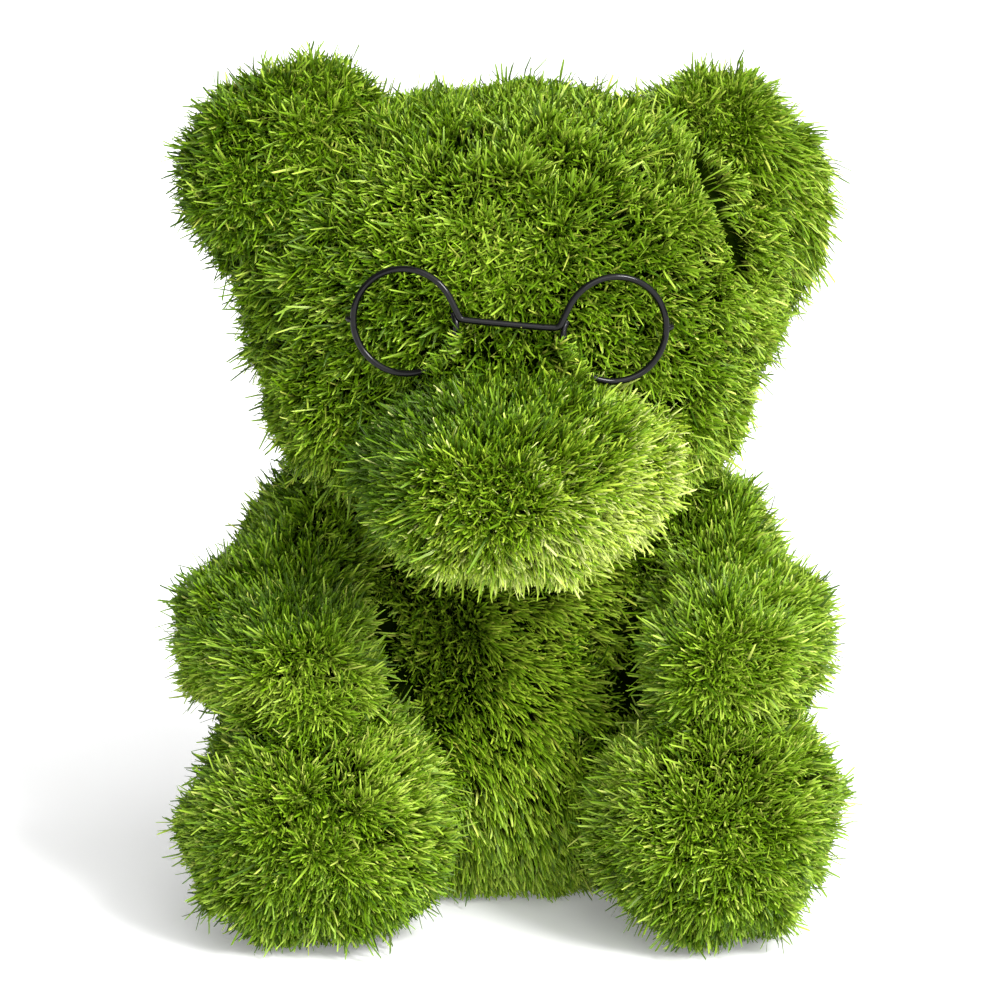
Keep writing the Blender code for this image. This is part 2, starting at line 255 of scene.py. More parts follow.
# The spectacles' wire and its paint.
WIRE_ROUGHNESS = (0.08, 0.15)
WIRE_SPECULAR = 0.23
WIRE_BLACKS = ((0.002, 0.002, 0.0022, 1.0), (0.004, 0.004, 0.0043, 1.0))
WIRE_BUMP = {"Strength": 0.12, "Distance": 0.0001}
FINE_SPECKLE = {"Scale": 900.0, "Detail": 3.0}
BROAD_SPECKLE = {"Scale": 120.0, "Detail": 2.0}
WIRE_RADIUS = 0.00178
RING_RADIUS = 0.02725
RING_TURN = math.radians(12)
RING_CENTRES = {-1: Vector((-0.05441, -0.0780, 0.33484)), 1: Vector((0.05381, -0.0780, 0.33068))}
RING_START = 372
RING_END = 26
RING_STEPS = 92
# The bridge's bend at a ring: the angle on the ring, and the shift out, back and up from it.
BRIDGE_BEND = (
    (14, (-0.0006, 0.0, 0.0003)), (5, (-0.0021, 0.0, -0.0002)), (5, (-0.0048, 0.0, -0.0010)),
)
# The pin from a ring's outer side: each step out, back and up, the last one into the turf.
PIN_STEPS = ((0.0022, 0.0012, 0.0), (0.0008, 0.0026, 0.0), (0.0, 0.028, 0.0))
# How a ring's first points are tucked in behind its last: out, back and up.
RING_TUCK = (
    (0.0012, 0.0028, -0.0006), (0.0010, 0.0024, -0.0004), (0.0006, 0.0016, 0.0),
    (0.0002, 0.0008, 0.0),
)
# The angles under the inner side between which a ring lies under the grass.
BURIED_FROM = 13.0
BURIED_TO = 66.0

# The face in front of which tips can meet the wire: its plane and its heights.
FACE_PLANE = -0.03
FACE_LOW = 0.29
FACE_HIGH = 0.38
WIRE_BATCH = 4000
# Tips this near the wire are held back, with a fading hold past that, and the share that cross.
HOLD_REACH = 0.0035
HOLD_FADE = 0.005
HOLD_BACK = 0.0012
CROSSING_SHARE = 0.08
# Blades this near a buried arc arch over it: their share, sway, and how far they go.
ARCH_REACH = 0.011
ARCH_SHARE = 0.62
ARCH_TURN = 0.55
ARCH_SWAY = 0.0024
ARCH_AHEAD = (0.0004, 0.0030)
ARCH_BEFORE = (0.001, 0.004)
ARCH_PAST = (0.000, 0.005)

# The camera, its lens and sensor in millimetres, looking down a little from far in front.
CAMERA_LENS = 137.5
CAMERA_SENSOR = 36.0
CAMERA_TILT = math.radians(12)
CAMERA_TARGET = Vector((-0.00535, 0.0342, 0.217))
CAMERA_DISTANCE = 2.1

# The lights: azimuth from the camera's side to the right, elevation, softness (all in degrees),
# and strength.
SUNS = {
    "key": (44.0, 40.0, 18.0, 3.5),
    "wide_key": (44.0, 40.0, 80.0, 2.8),
    "front_fill": (0.0, 16.0, 60.0, 1.1),
    "back_fill": (165.0, 38.0, 100.0, 1.0),
}
WORLD_LIGHT = 0.25
FLOOR_SIZE = 20.0
FLOOR_COLOUR = (0.88, 0.88, 0.88, 1.0)
FLOOR_ROUGHNESS = 0.7
FLOOR_GLOW = 0.20
WHITE = (1.0, 1.0, 1.0, 1.0)


# Skins

def unit(vectors):
    """The same directions with length 1."""
    return vectors / np.maximum(np.linalg.norm(vectors, axis=1, keepdims=True), 1e-9)


def read_points(items, name, width=3, kind=float):
    """One property of many mesh items as rows of an array."""
    values = np.empty(len(items) * width, dtype=kind)
    items.foreach_get(name, values)
    return values.reshape(-1, width)


def welded_shape(node, swell=0.0):
    """A copy of a CAD node's mesh with its loose triangles joined, and moved out if asked."""
    shape = bmesh.new()
    shape.from_mesh(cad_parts[node].data)
    bmesh.ops.remove_doubles(shape, verts=shape.verts, dist=1e-6)
    shape.normal_update()
    for vertex in shape.verts:
        vertex.co += vertex.normal * swell
    return shape


def mesh_from(shape, name):
    mesh = bpy.data.meshes.new(name)
    shape.to_mesh(mesh)
    shape.free()
    return mesh


def smoothed(mesh, cell, rounds):
    """A mesh's form as even cells, with its tufts smoothed away."""
    source = bpy.data.objects.new(mesh.name + "_form", mesh)
    bpy.context.scene.collection.objects.link(source)
    cells = source.modifiers.new("cells", "REMESH")
    cells.mode = "VOXEL"
    cells.voxel_size = cell
    soften = source.modifiers.new("soften", "LAPLACIANSMOOTH")
    soften.iterations = rounds
    soften.lambda_factor = 1.0
    soften.lambda_border = 0.0
    soften.use_volume_preserve = True
    soften.use_normalized = True
    graph = bpy.context.evaluated_depsgraph_get()
    result = bpy.data.meshes.new_from_object(source.evaluated_get(graph), depsgraph=graph)
    bpy.data.objects.remove(source, do_unlink=True)
    return result


class Skin:
    """A smooth skin as arrays: its points, the way they face, and its triangles."""

    def __init__(self, mesh):
        mesh.calc_loop_triangles()
        self.points = read_points(mesh.vertices, "co")
        self.normals = unit(read_points(mesh.vertex_normals, "vector"))
        self.triangles = read_points(mesh.loop_triangles, "vertices", kind=np.int32)


def tree_of(mesh):
    """A search tree over a mesh's faces."""
    corners = [vertex.co for vertex in mesh.vertices]
    return BVHTree.FromPolygons(corners, [face.vertices[:] for face in mesh.polygons])


def whole_skin(cell, rounds):
    """One skin over all the turf forms together, so that the pile runs on over their seams."""
    whole = bmesh.new()
    for node in COATS:
        part = welded_shape(node, SEAM_OVERLAP)
        mesh = mesh_from(part, node + "_swollen")
        whole.from_mesh(mesh)
    return Skin(smoothed(mesh_from(whole, "whole_bear"), cell, rounds))


def crown_of(node):
    """The crown of a form's pile, from its shares of the node's box."""
    low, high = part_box(node)
    shares = COATS[node].crown
    return np.array([low[i] + share * (high[i] - low[i]) for i, share in enumerate(shares)])


def flow_from(skin, column):
    """The pile's flow over the skin away from each point's given form's crown, and how close the
    point is to that crown."""
    away = skin.points - np.array([crown_of(node) for node in NAMES])[column]
    away -= np.sum(away * skin.normals, axis=1, keepdims=True) * skin.normals
    reach = np.linalg.norm(away, axis=1, keepdims=True)
    down = np.array([0.0, 0.0, -1.0]) + skin.normals * skin.normals[:, 2:3]
    droop = np.array([COATS[node].droop for node in NAMES])[column][:, None]
    near_crown = np.clip(1.0 - reach / CROWN_REACH, 0.0, 1.0)
    flow = (away / np.maximum(reach, 1e-9) + droop * down) * (1.0 - near_crown)
    return flow, near_crown[:, 0]


def comb(skin, trees):
    """Works out the pile's lie at each corner of the skin: whose it is, its flow away from that
    form's crown, the push of a near neighbour, the solid's tufts, and how bare it is."""
    count = len(skin.points)
    gaps = np.full((count, len(NAMES)), 1.0)
    facing = np.zeros((count, len(NAMES), 3))
    for index in range(count):
        point = Vector(skin.points[index])
        for column, node in enumerate(NAMES):
            place, normal, _, distance = trees[node].find_nearest(point, NEIGHBOUR_REACH)
            if place is not None:
                inside = (point - place).dot(normal) < 0.0
                gaps[index, column] = -distance if inside else distance
                facing[index, column] = normal
    owner = gaps.argmin(axis=1)
    flow, near_crown = flow_from(skin, owner)
    skin.ruffle = 1.0 + RUFFLED_AT_CROWN * near_crown

    others = gaps.copy()
    others[np.arange(count), owner] = 1.0
    second = others.argmin(axis=1)
    room = others[np.arange(count), second]
    parting = np.array([
        PARTINGS.get(frozenset((NAMES[first], NAMES[other])), USUAL_PARTING)
        for first, other in zip(owner, second)
    ])
    skin.seam = parting * np.clip(1.0 - room / SEAM_REACH, 0.0, 1.0)
    shared = 0.5 * (1.0 - parting) * np.exp(-np.maximum(room, 0.0) / BLEND_REACH)
    skin.fill = 2.0 * shared * (skin.normals[:, 1] < FRONT_FACING)
    skin.flow = flow + (flow_from(skin, second)[0] - flow) * shared[:, None]
    push = facing[np.arange(count), second]
    push = push * (parting * np.clip(1.0 - room / PUSH_REACH, 0.0, 1.0))[:, None]
    skin.push = push - np.sum(push * skin.normals, axis=1, keepdims=True) * skin.normals
    sink_ear_crease(skin)
    skin.relief = np.zeros(count)
    for index in range(count):
        point, normal = Vector(skin.points[index]), Vector(skin.normals[index])
        start = point - normal * RELIEF_START
        outer = trees[NAMES[owner[index]]].ray_cast(start, normal, RELIEF_REACH)
        if outer[0] is not None:
            skin.relief[index] = outer[3] - RELIEF_START
    skin.owner = owner[skin.triangles]
    skin.owner = np.array([np.bincount(row, minlength=len(NAMES)).argmax() for row in skin.owner])
    facing_down = -skin.normals[:, 2] - UNDERSIDE_FACING
    under = np.clip(facing_down / UNDERSIDE_FADE, 0.0, 1.0)
    under *= skin.points[:, 2] < UNDERSIDE_HEIGHT
    behind = np.clip(skin.normals[:, 1], 0.0, 1.0)
    skin.weight = (1.0 - SPARSER_UNDER * under) * (1.0 - SPARSER_BEHIND * behind)
    skin.weight *= 1.0 + DENSER_AT_SEAM * skin.seam
    skin.weight *= 1.0 + DENSER_AT_CROWN * near_crown


def beyond_crease(points):
    """How far points lie past the crease in front of the right ear, and how strong it is there."""
    x, y, z = points.T
    beyond = x - np.interp(z, CREASE_Z, CREASE_X)
    low_run, low_fade = CREASE_LOW_END
    high_run, high_fade = CREASE_HIGH_END
    low_end = np.clip((z - CREASE_Z[0] + low_run) / low_fade, 0.0, 1.0)
    high_end = np.clip((CREASE_Z[-1] + high_run - z) / high_fade, 0.0, 1.0)
    return beyond, low_end * high_end * (y < CREASE_BACK)


def laid_flat(direction, normals):
    """One direction laid flat against the skin at each of its points."""
    direction = np.array(direction)
    return direction - normals * (normals @ direction)[:, None]


def sink_ear_crease(skin):
    """Sinks the skin in front of the right ear, and lets the pile beyond hang as the ear's."""
    beyond, shown = beyond_crease(skin.points)
    ear_slope = np.exp(-beyond / CREASE_EAR_SLOPE)
    head_slope = np.clip(1.0 + beyond / CREASE_HEAD_SLOPE, 0.0, 1.0)
    slope = np.where(beyond > 0.0, ear_slope, head_slope)
    skin.points -= skin.normals * (CREASE_DEPTH * shown * slope)[:, None]
    direction, strength = EAR_HANG
    share = shown * np.clip(beyond / HANG_START, 0.0, 1.0)
    share = share * np.clip(1.5 - beyond / HANG_REACH, 0.0, 1.0)
    hanging = laid_flat(direction, skin.normals) * strength
    skin.flow += (hanging - skin.flow) * np.clip(share, 0.0, 1.0)[:, None]
    direction, strength = HEAD_LEAN
    before = shown * (beyond < 0.0) * np.clip(1.0 + beyond / LEAN_REACH, 0.0, 1.0)
    leaning = laid_flat(direction, skin.normals) * strength
    skin.flow += (leaning - skin.flow) * before[:, None]
    hanging_here = (shown > 0.3) & (beyond > 0.0)
    skin.seam = np.where(hanging_here, 0.0, skin.seam)
    skin.push = np.where(hanging_here[:, None], 0.0, skin.push)


def in_crease(root, tip, random):
    """Which blades are left out for the crease: the tips over it and most of those across it."""
    beyond, shown = beyond_crease(tip)
    other_side = beyond * beyond_crease(root)[0] < 0.0
    crossing = other_side & (random.random(len(tip)) < CREASE_CROSSING)
    ragged = CREASE_HALF * random.uniform(*CREASE_RAGGED, len(tip))
    return (crossing | (np.abs(beyond) < ragged)) & (random.random(len(tip)) < 2.0 * shown)


def backing_of(skin):
    """The turf's backing: a coarser whole skin drawn in under the pile, each of its triangles
    with the owner of the skin over it."""
    backing = whole_skin(BACKING_CELL, BACKING_ROUNDS)
    over = BVHTree.FromPolygons(skin.points.tolist(), skin.triangles.tolist())
    centres = backing.points[backing.triangles].mean(axis=1)
    backing.owner = np.array([
        skin.owner[over.find_nearest(Vector(centre))[2]] for centre in centres
    ])
    backing.points -= backing.normals * BACKING_DEPTH
    return backing


# Blades

def blade_shape(sections):
    """One blade as a flat strip one wide and one long, pointed at its hidden root and cut across
    a little slanted at its tip: points as (across, along), and its faces."""
    shape = bmesh.new()
    bmesh.ops.create_grid(shape, x_segments=1, y_segments=sections, size=0.5)
    bmesh.ops.translate(shape, verts=shape.verts, vec=(0.0, 0.5, 0.0))
    root = [vertex for vertex in shape.verts if vertex.co.y < 0.01]
    bmesh.ops.pointmerge(shape, verts=root, merge_co=Vector((0.0, 0.0, 0.0)))
    for vertex in shape.verts:
        if vertex.co.y > 0.99:
            end = 1.0 - TIP_SLANT * (vertex.co.x < 0.0)
            vertex.co = Vector((vertex.co.x * TIP_SHARE, end, 0.0))
        elif vertex.co.y > 0.1:
            vertex.co.y = KNEE
    shape.verts.index_update()
    places = np.array([vertex.co[:2] for vertex in shape.verts])
    faces = [[vertex.index for vertex in face.verts] for face in shape.faces]
    shape.free()
    return places, faces


def pick_on_skin(skin, node, count, random):
    """Evenly scattered places on a form's share of the skin: corner shares of triangles."""
    corners = skin.points[skin.triangles]
    sides = np.cross(corners[:, 1] - corners[:, 0], corners[:, 2] - corners[:, 0])
    share = np.linalg.norm(sides, axis=1) * skin.weight[skin.triangles].mean(axis=1)
    share = share * (skin.owner == NAMES.index(node))
    chosen = random.choice(len(share), size=count, p=share / share.sum())
    first, second = random.random(count), random.random(count)
    turned = first + second > 1.0
    first[turned], second[turned] = 1.0 - first[turned], 1.0 - second[turned]
    shares = np.stack([1.0 - first - second, first, second], axis=1)
    return chosen, shares


def on_skin(values, skin, chosen, shares):
    """A corner value read at scattered places."""
    around = values[skin.triangles[chosen]]
    if values.ndim == 1:
        return np.sum(around * shares, axis=1)
    return np.sum(around * shares[:, :, None], axis=1)


def patches(points, size, seed):
    """Slow changes over the coat, between about -1 and 1, from a few crossed waves."""
    random = np.random.default_rng(seed)
    total = np.zeros(len(points))
    for _ in range(PATCH_WAVES):
        direction = unit(random.normal(size=(1, 3)))[0] * (2 * math.pi / size)
        wave = points @ direction * random.uniform(*PATCH_STRETCH)
        total += np.sin(wave + random.uniform(0, 6.28))
    return total / PATCH_MOST


def buried(wire):
    """Which points of the wire lie under the pile: each ring's inner lower arc."""
    hidden = np.zeros(len(wire), dtype=bool)
    for side, centre in RING_CENTRES.items():
        inward, down = (wire[:, 0] - centre.x) * -side, centre.z - wire[:, 2]
        angle = np.degrees(np.arctan2(down, inward))
        near = np.abs(wire[:, 0] - centre.x) < RING_RADIUS + WIRE_RADIUS
        hidden |= near & (angle > BURIED_FROM) & (angle < BURIED_TO)
    return hidden


def nearest_wire(points, wire):
    """The closest wire point as the camera sees it, for each point, and how far it is."""
    flat = np.linalg.norm(points[:, None, (0, 2)] - wire[None, :, (0, 2)], axis=2)
    closest = flat.argmin(axis=1)
    return closest, flat[np.arange(len(points)), closest]


def held_by_wire(growth, wire, random):
    """Presses tips back behind the wire, but for the odd blade that crosses it, and arches the
    blades beside the buried arcs over them."""
    root, knee, tip = growth.root, growth.knee, growth.tip
    hidden = buried(wire)
    before_face = (tip[:, 1] < FACE_PLANE) & (tip[:, 2] > FACE_LOW) & (tip[:, 2] < FACE_HIGH)
    near = np.flatnonzero(before_face)
    for start in range(0, len(near), WIRE_BATCH):
        rows = near[start:start + WIRE_BATCH]
        closest, reach = nearest_wire(tip[rows], wire)
        pressed = np.clip(1.0 - (reach - HOLD_REACH) / HOLD_FADE, 0.0, 1.0) * ~hidden[closest]
        back = wire[closest, 1] + WIRE_RADIUS + HOLD_BACK
        kept = random.random(len(rows)) > CROSSING_SHARE
        shift = np.maximum(back - tip[rows, 1], 0.0) * pressed * kept
        tip[rows, 1] += shift
        knee[rows, 1] += shift * KNEE**2

        closest, reach = nearest_wire(root[rows], wire)
        chosen = random.random(len(rows)) < ARCH_SHARE
        arching = hidden[closest] & (reach < ARCH_REACH) & chosen
        rows, closest = rows[arching], closest[arching]
        count = len(rows)
        over = wire[closest].copy()
        over[:, 1] -= WIRE_RADIUS
        side = np.sign(over[:, 0])
        centres = np.array([list(RING_CENTRES[int(value)]) for value in side]).reshape(-1, 3)
        inward = centres - over
        inward[:, 1] = 0.0
        turn = random.normal(size=(count, 3)) * (ARCH_TURN, 0.0, ARCH_TURN)
        inward = unit(unit(inward) + turn)
        sway = random.normal(size=(count, 3)) * ARCH_SWAY
        ahead = np.zeros((count, 3))
        ahead[:, 1] = -random.uniform(*ARCH_AHEAD, count)
        before = inward * random.uniform(*ARCH_BEFORE, (count, 1))
        knee[rows] = over - before + ahead + sway * 0.5
        past = inward * random.uniform(*ARCH_PAST, (count, 1))
        tip[rows] = over + past + ahead * 0.8 + sway


class Growth:
    """The blades of one length on one form, as arrays with a row for each blade."""

    def __init__(self, skin, node, count, short, random, seed, wire):
        coat = COATS[node]
        tufts = count // TUFT_BLADES
        chosen, shares = pick_on_skin(skin, node, tufts, random)
        chosen, shares = np.repeat(chosen, TUFT_BLADES), np.repeat(shares, TUFT_BLADES, axis=0)
        count = tufts * TUFT_BLADES
        point, normal, flow, push, relief, seam, fill, ruffle = (
            on_skin(getattr(skin, name), skin, chosen, shares)
            for name in ("points", "normals", "flow", "push", "relief", "seam", "fill", "ruffle")
        )
        normal = unit(normal)
        uneven = coat.uneven * ruffle[:, None]
        tuft_sway = np.repeat(random.normal(size=(tufts, 3)), TUFT_BLADES, axis=0)
        tuft_sway = tuft_sway * uneven * TUFT_SWAY_SHARE
        sway = tuft_sway + random.normal(size=(count, 3)) * uneven
        spread = random.normal(size=(count, 3)) * TUFT_SPREAD
        for side in (sway, spread):
            side -= np.sum(side * normal, axis=1, keepdims=True) * normal
        tall = coat.height + RELIEF_SHARE * relief - SEAM_DROP * seam
        tall += SEAM_FILL.get(node, 0.0) * fill
        tall += random.normal(size=count) * BLADE_SCATTER
        tall += np.repeat(random.normal(size=tufts), TUFT_BLADES) * TUFT_SCATTER
        straying = random.random(count) < coat.stray
        tall += straying * np.minimum(random.exponential(STRAY_MEAN, count), STRAY_MOST)
        if short:
            thatch = random.random(count) < THATCH_SHARE
            tall -= random.uniform(*SHORTER_BY, size=count)
            tall = np.where(thatch, random.uniform(*THATCH_HEIGHT, size=count), tall)
            sway[thatch] *= THATCH_SWAY
        rise = ROOT_DEPTH + tall
        side = flow * coat.lean + sway + push * SEAM_PUSH
        length = np.linalg.norm(side, axis=1)
        rise /= np.sqrt(1.0 + LEANING_LOSS * np.minimum(length, MOST_LEAN) ** 2)
        root = point + spread * ROOT_SPREAD_SHARE - normal * ROOT_DEPTH
        tip = point + spread + normal * (rise - ROOT_DEPTH)[:, None] + side * rise[:, None]
        tip[:, 2] -= rise * SAG
        tuft_tint = np.repeat(random.normal(size=tufts), TUFT_BLADES) * TUFT_TINT_SCATTER
        stays = ~in_crease(root, tip, random)
        count = stays.sum()
        root, tip, rise, side, normal, point, seam, tuft_tint = (
            values[stays] for values in (root, tip, rise, side, normal, point, seam, tuft_tint)
        )
        floor = GROUND_CLEARANCE + random.random(count) * GROUND_SCATTER
        tip[:, 2] = np.maximum(tip[:, 2], floor)
        bow = root + normal * (rise * BOW_RISE)[:, None] + side * (rise * BOW_LEAN)[:, None]
        knee = (1 - KNEE) ** 2 * root + 2 * KNEE * (1 - KNEE) * bow + KNEE**2 * tip
        knee += random.normal(size=(count, 3)) * KNEE_SCATTER
        knee[:, 2] = np.maximum(knee[:, 2], GROUND_CLEARANCE + KNEE_SCATTER)
        self.root, self.knee, self.tip = root, knee, tip
        if node in ("head", "muzzle") and not short:
            held_by_wire(self, wire, random)

        along = unit(tip - root)
        facing = unit(normal - np.sum(normal * along, axis=1, keepdims=True) * along)
        across = np.cross(along, facing)
        roll = random.normal(size=(count, 1)) * ROLL
        across = across * np.cos(roll) + facing * np.sin(roll)
        outward = np.sum(np.cross(across, along) * normal, axis=1, keepdims=True)
        across *= np.where(outward < 0.0, -1.0, 1.0)
        behind = np.clip(normal[:, 1], 0.0, 1.0)
        width = BLADE_WIDTH * random.uniform(*WIDTH_RANGE, size=count)
        self.across = across * (width * (1.0 + WIDER_BEHIND * behind))[:, None]

        # Painted light and shade: sides that face right or up are made paler or deeper in tint.
        overall, painted_light_rightward, painted_light_upward = TONE_AND_PAINTED_LIGHT[node]
        painted_light = painted_light_rightward * normal[:, 0] + painted_light_upward * normal[:, 2]
        tint = MIDDLE_TINT + overall + painted_light
        scatter = TINT_SCATTER * random.normal(size=count)
        tint += scatter + PATCH_TINT * patches(point, PATCH_SIZE, seed)
        # Painted shade: blades by a seam between two forms are deeper in tint.
        tint += tuft_tint - SEAM_PAINTED_SHADE * seam
        # Pale dry blades gather where the painted light is, as a painted highlight.
        dry = random.random(count) < np.clip(DRY_SHARE + DRY_WITH_PAINTED_LIGHT * painted_light, *DRY_RANGE)
        dry_tint = random.uniform(DRY_TINT, 1.0, size=count)
        tint = np.where(dry, dry_tint, np.clip(tint, 0.0, DRY_TINT))
        self.column = np.clip((tint * TINTS).astype(int), 0, TINTS - 1)

    def spine(self, along):
        """Each blade's middle line at a share of its length."""
        if along < 0.01:
            return self.root
        if along > 0.99:
            return self.tip
        if abs(along - KNEE) < 0.01:
            return self.knee
        return self.knee + (self.tip - self.knee) * (along - KNEE) / (1.0 - KNEE)

    def planted(self, shape):
        """Copies of a blade shape laid along every spine: points, corners, face sizes and map."""
        places, faces = shape
        count = len(self.root)
        points = np.stack(
            [self.spine(along) + self.across * sideways for sideways, along in places], axis=1
        )
        order = np.concatenate([np.array(face) for face in faces])
        corners = (np.arange(count)[:, None] * len(places) + order[None, :]).ravel()
        centre = (self.column + 0.5) / TINTS
        u = centre[:, None] + places[order, 0][None, :] * COLUMN_SHARE / TINTS
        v = np.broadcast_to(places[order, 1][None, :], u.shape)
        sizes = np.tile([len(face) for face in faces], count)
        return points.reshape(-1, 3), corners, sizes, np.stack([u.ravel(), v.ravel()], axis=1)


def backing_part(backing, node, random):
    """One form's share of the backing as points, corners, face sizes and map, at the root end of
    the map's darker columns."""
    triangles = backing.triangles[backing.owner == NAMES.index(node)]
    used, corners = np.unique(triangles, return_inverse=True)
    # The backing takes the darker columns at the root end, under the painted root shade.
    centre = (random.integers(0, BACKING_COLUMNS, len(triangles)) + 0.5) / TINTS
    u = centre[:, None] + np.array(BACKING_U)[None, :] / TINTS
    v = np.broadcast_to(np.array(BACKING_V)[None, :], u.shape)
    sizes = np.full(len(triangles), 3)
    return backing.points[used], corners.ravel(), sizes, np.stack([u.ravel(), v.ravel()], axis=1)


def coat_of_turf(skin, backing, node, seed, wire, material):
    """One form's blades and backing as one mesh, with the blade map."""
    random = np.random.default_rng(seed)
    long_blades = Growth(skin, node, COATS[node].long, False, random, seed, wire)
    short_blades = Growth(skin, node, COATS[node].short, True, random, seed, wire)
    parts = [
        long_blades.planted(blade_shape(LONG_SECTIONS)),
        short_blades.planted(blade_shape(SHORT_SECTIONS)),
        backing_part(backing, node, random),
    ]
    firsts = np.cumsum([0] + [len(part[0]) for part in parts[:-1]])
    points = np.concatenate([part[0] for part in parts])
    corners = np.concatenate([part[1] + first for part, first in zip(parts, firsts)])
    sizes = np.concatenate([part[2] for part in parts])
    flat = np.concatenate([part[3] for part in parts])
    starts = np.concatenate([[0], np.cumsum(sizes)[:-1]])
    mesh = bpy.data.meshes.new(node + "_turf")
    mesh.vertices.add(len(points))
    mesh.vertices.foreach_set("co", points.astype(np.float32).ravel())
    mesh.loops.add(len(corners))
    mesh.loops.foreach_set("vertex_index", corners.astype(np.int32))
    mesh.polygons.add(len(sizes))
    mesh.polygons.foreach_set("loop_start", starts.astype(np.int32))
    mesh.update(calc_edges=True)
    blade_map = mesh.uv_layers.new(name=MAP_NAME)
    blade_map.data.foreach_set("uv", flat.astype(np.float32).ravel())
    mesh.materials.append(material)
    turf = bpy.data.objects.new(node + "_turf", mesh)
    bpy.context.scene.collection.objects.link(turf)
    return turf


# Spectacles

def turned(point, side):
    """Turns a point of the flat spectacles back round its ring's centre."""
    centre = RING_CENTRES[side]
    return centre + Matrix.Rotation(side * RING_TURN, 3, "Z") @ (point - centre)


def ring_arc(side, start, end, steps):
    """Points on a ring from one angle to another, in degrees from the inner side over the top."""
    points = []
    for step in range(steps + 1):
        angle = math.radians(start + (end - start) * step / steps)
        flat = Vector((-side * math.cos(angle), 0.0, math.sin(angle))) * RING_RADIUS
        points.append(turned(RING_CENTRES[side] + flat, side))
    return points


def spectacle_wire():
    """The bent wire's middle line: from the left ring's tucked end, round, over the bridge, and
    round the right ring to its tucked end."""
    halves = {}
    for side in (-1, 1):
        loop = ring_arc(side, RING_START, RING_END, RING_STEPS)
        for point, (out, back, up) in zip(loop, RING_TUCK):
            point += Vector((side * out, back, up))
        bend = [
            ring_arc(side, angle, angle, 1)[0] + Vector((side * out, back, up))
            for angle, (out, back, up) in BRIDGE_BEND
        ]
        halves[side] = loop + bend
    return halves[-1] + halves[1][::-1]


def pin_wire(side):
    """The pin at a ring's outer side: a short elbow, then straight back into the turf."""
    points = [ring_arc(side, 180, 180, 1)[0]]
    for out, back, up in PIN_STEPS:
        points.append(points[-1] + Vector((side * out, back, up)))
    return points


def wire_mesh(name, lines, material):
    """Round wires through the lines' points, as one smooth mesh."""
    curve = bpy.data.curves.new(name, "CURVE")
    curve.dimensions = "3D"
    curve.bevel_depth = WIRE_RADIUS
    curve.bevel_resolution = 4
    curve.resolution_u = 4
    curve.use_fill_caps = True
    for points in lines:
        spline = curve.splines.new("NURBS")
        spline.points.add(len(points) - 1)
        spline.order_u = 3
        spline.use_endpoint_u = True
        for target, point in zip(spline.points, points):
            target.co = (*point, 1.0)
    source = bpy.data.objects.new(name + "_line", curve)
    bpy.context.scene.collection.objects.link(source)
    graph = bpy.context.evaluated_depsgraph_get()
    mesh = bpy.data.meshes.new_from_object(source.evaluated_get(graph), depsgraph=graph)
    bpy.data.objects.remove(source, do_unlink=True)
    shape = bmesh.new()
    shape.from_mesh(mesh)
    bmesh.ops.remove_doubles(shape, verts=shape.verts, dist=1e-5)
    bmesh.ops.recalc_face_normals(shape, faces=shape.faces)
    shape.to_mesh(mesh)
    shape.free()
    mesh.name = name
    mesh.shade_smooth()
    mesh.materials.clear()
    mesh.materials.append(material)
    wire = bpy.data.objects.new(name, mesh)
    bpy.context.scene.collection.objects.link(wire)
    return wire


# Materials

def new_material(name):
    material = bpy.data.materials.new(name)
    material.use_nodes = True
    return material, material.node_tree.nodes, material.node_tree.links


def group_socket(group, name, kind, way, value=None):
    socket = group.interface.new_socket(name=name, in_out=way, socket_type=kind)
    if value is not None:
        socket.default_value = value
    return socket


def node_maker(tree):
    """Makes nodes in a tree: each input is a value, or a socket to link from."""
    def make(kind, inputs=(), **settings):
        node = tree.nodes.new(kind)
        for name, value in settings.items():
            setattr(node, name, value)
        for key, value in dict(inputs).items():
            if isinstance(value, bpy.types.NodeSocket):
                tree.links.new(value, node.inputs[key])
            else:
                node.inputs[key].default_value = value
        return node
    return make


